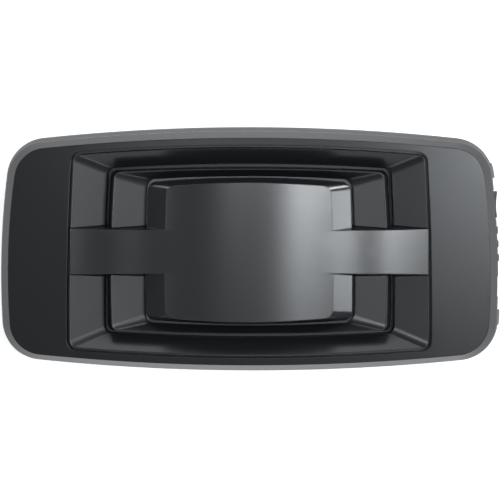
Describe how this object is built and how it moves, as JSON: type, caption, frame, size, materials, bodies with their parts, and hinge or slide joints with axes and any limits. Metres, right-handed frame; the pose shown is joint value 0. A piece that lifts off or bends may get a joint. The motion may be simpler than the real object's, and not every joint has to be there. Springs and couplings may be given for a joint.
{
  "type": "garage door controller",
  "caption": "Ceiling or wall mounted garage door controller: stepped oval-cornered face with a cross band over a convex centre panel, on a slide-off bracket.",
  "frame": {"origin": "middle of the bracket's wall face, under the middle of the casing", "axes": "+X along the casing's length to the right of its face, +Y to its top edge, +Z out of its front face"},
  "size_m": [0.1673, 0.0816, 0.0335],
  "materials": {
    "casing_plastic": "satin charcoal",
    "rear_plastic": "fine texture",
    "guide_plastic": "smoked",
    "button_plastic": "satin",
    "light_pipe_plastic": "clear",
    "lamp_plastic": "lamp body",
    "board_laminate": "green solder mask",
    "can_metal": "tinned",
    "screw_steel": "zinc",
    "chip_plastic": "moulded",
    "jack_plastic": "moulded",
    "seal_foam": "foam",
    "bracket_plastic": "fine texture"
  },
  "bodies": {
    "casing": {"front_bezel": "casing_plastic", "step_frame": "casing_plastic", "step_ring": "casing_plastic", "centre_panel": "casing_plastic", "light_guide": "guide_plastic", "rear_housing": "rear_plastic", "casing_screws": "screw_steel", "tact_switch": "chip_plastic", "status_light_pipes": "light_pipe_plastic", "status_lamps": "lamp_plastic", "power_jack": "jack_plastic", "jack_pin": "can_metal", "sounder": "chip_plastic", "sounder_seal": "seal_foam", "circuit_board": "board_laminate", "board_screws": "screw_steel", "wifi_module": "board_laminate", "wifi_shield": "can_metal", "radio_shield": "can_metal", "processor_chip": "chip_plastic", "crystal_can": "can_metal", "aerial_wires": "can_metal", "capacitors": "can_metal", "inductor": "chip_plastic", "regulator_chips": "chip_plastic", "flash_lamps": "lamp_plastic"},
    "bracket": {"mounting_bracket": "bracket_plastic"},
    "button": {"settings_button": "button_plastic", "switch_plunger": "button_plastic"}
  },
  "joints": [
    {"name": "bracket_slide", "type": "slide", "parent": "casing", "child": "bracket", "axis": [0, -1, 0], "range_m": [0, 0.0043]},
    {"name": "button_press", "type": "slide", "parent": "casing", "child": "button", "axis": [-1, 0, 0], "range_m": [0, 0.0006], "stiffness_N_per_m": 800}
  ]
}
